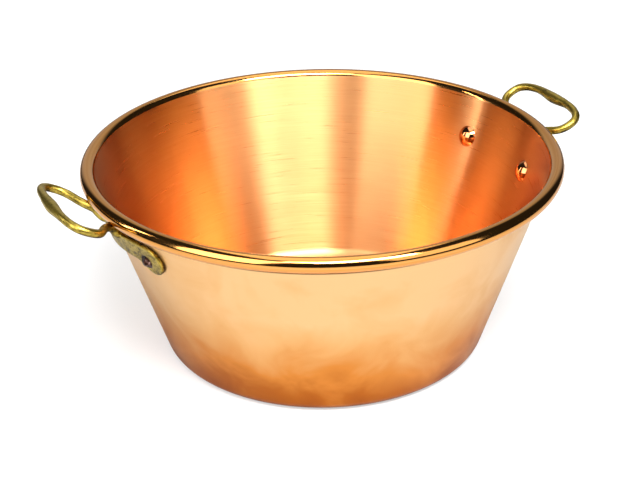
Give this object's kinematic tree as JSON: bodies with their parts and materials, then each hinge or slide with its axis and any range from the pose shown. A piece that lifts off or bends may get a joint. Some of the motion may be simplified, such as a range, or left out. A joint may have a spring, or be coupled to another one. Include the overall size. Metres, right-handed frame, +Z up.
{
  "type": "copper jam pan",
  "caption": "Wide unlined copper preserving pan with sloping sides, a thick rolled rim over a steel wire, and cast brass loop handles riveted outside.",
  "frame": {"origin": "centre of the underside of the base, on the surface that the pan stands on", "axes": "+Z up along the pan's axis, +X out through the middle of the right handle, +Y completes the right-handed frame"},
  "size_m": [0.4526, 0.3798, 0.1669],
  "materials": {
    "pan_copper": "spun copper sheet, brushed inside, satin outside, polished rim",
    "wire_steel": "drawn wire, hidden in the rim",
    "cast_brass": "sand-cast and filed, dark with age in the hollows",
    "rivet_copper": "forged copper, polished domes inside"
  },
  "bodies": {
    "root": {"pan_body": "pan_copper", "rim_wire": "wire_steel", "left_handle": "cast_brass", "right_handle": "cast_brass", "left_front_rivet": "rivet_copper", "left_rear_rivet": "rivet_copper", "right_front_rivet": "rivet_copper", "right_rear_rivet": "rivet_copper"}
  },
  "joints": []
}
